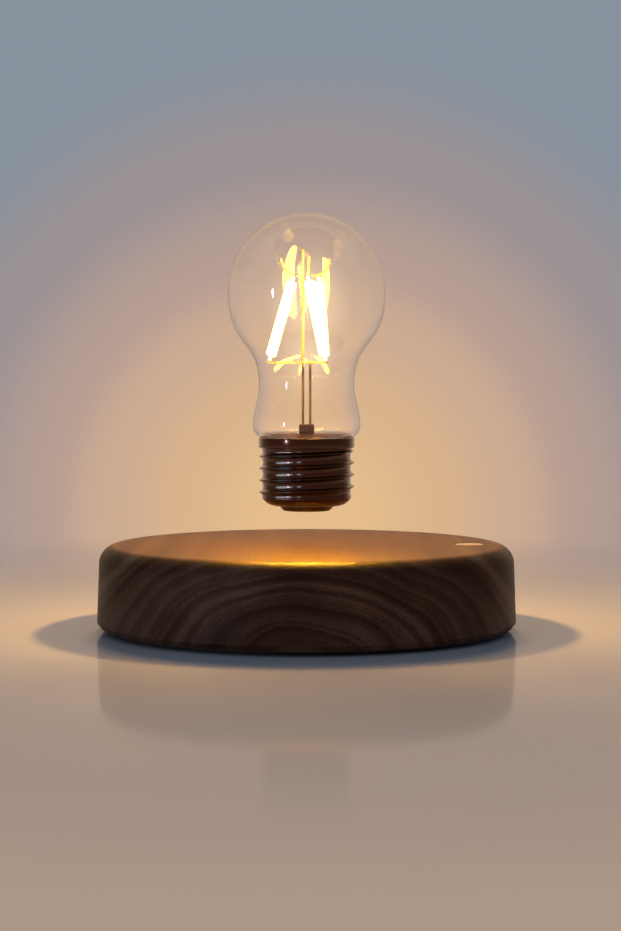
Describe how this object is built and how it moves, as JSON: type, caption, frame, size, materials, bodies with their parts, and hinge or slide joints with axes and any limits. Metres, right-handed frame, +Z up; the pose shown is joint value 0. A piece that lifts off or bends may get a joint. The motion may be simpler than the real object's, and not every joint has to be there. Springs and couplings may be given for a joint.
{
  "type": "levitating lamp",
  "caption": "Filament bulb that floats and turns above a round wooden base, held by magnets and lit without wires, with a touch switch and a rear power socket.",
  "frame": {"origin": "centre of the lamp's underside, on the table, on the axis of the base and bulb", "axes": "+Z up, along the axis of the base and bulb; the front faces -Y, the power socket +Y, and the touch switch lies on +X"},
  "size_m": [0.15, 0.15, 0.1493],
  "materials": {
    "walnut": "satin oiled",
    "black_plastic": "fine matt",
    "rubber_foot": "matt",
    "steel": "drawn",
    "circuit_board": "lacquered",
    "chip": "moulded",
    "copper": "enamelled copper",
    "ferrite": "sintered",
    "magnet_nickel": "nickel plated",
    "touch_pad": "satin",
    "black_nickel": "polished black nickel",
    "cement": "rough",
    "clear_glass": "clear blown",
    "filament": "yellow coated"
  },
  "bodies": {
    "base": {"base_shell": "walnut", "bottom_cover": "black_plastic", "foot_1": "rubber_foot", "foot_2": "rubber_foot", "foot_3": "rubber_foot", "foot_4": "rubber_foot", "cover_screw_1": "steel", "cover_screw_2": "steel", "cover_screw_3": "steel", "cover_screw_4": "steel", "carrier_screw_1": "steel", "carrier_screw_2": "steel", "carrier_screw_3": "steel", "carrier_screw_4": "steel", "control_board": "circuit_board", "controller_chip": "chip", "smoothing_capacitor_1": "black_plastic", "smoothing_capacitor_2": "black_plastic", "smoothing_capacitor_3": "black_plastic", "dc_jack": "black_plastic", "dc_jack_pin": "steel", "hall_board": "circuit_board", "magnet_ring": "ferrite", "coil_bobbin_1": "black_plastic", "coil_winding_1": "copper", "coil_core_1": "steel", "coil_bobbin_2": "black_plastic", "coil_winding_2": "copper", "coil_core_2": "steel", "coil_bobbin_3": "black_plastic", "coil_winding_3": "copper", "coil_core_3": "steel", "coil_bobbin_4": "black_plastic", "coil_winding_4": "copper", "coil_core_4": "steel", "coil_carrier": "black_plastic", "sending_coil": "copper", "touch_switch": "touch_pad", "touch_spring": "steel"},
    "float_magnet": {"levitation_magnet": "magnet_nickel"},
    "bulb": {"cap_end_disc": "black_nickel", "cap_shell": "black_nickel", "cap_collar": "black_nickel", "receiving_coil": "copper", "ferrite_sheet": "ferrite", "rectifier_board": "circuit_board", "cement_ring": "cement", "bulb_glass": "clear_glass", "stem_plate": "copper", "lead_block": "black_plastic", "lead_rod_left": "steel", "lead_rod_right": "steel", "lower_star": "steel", "upper_crown": "steel", "filament_1": "filament", "filament_2": "filament", "filament_3": "filament"}
  },
  "joints": [
    {"name": "float_height", "type": "slide", "parent": "base", "child": "float_magnet", "axis": [0, 0, 1], "range_m": [-0.0118, 0.06], "stiffness_N_per_m": 120, "springref_m": 0.00864},
    {"name": "bulb_spin", "type": "hinge", "parent": "float_magnet", "child": "bulb", "pos_m": [0, 0, 0.053], "axis": [0, 0, 1], "continuous": true}
  ]
}
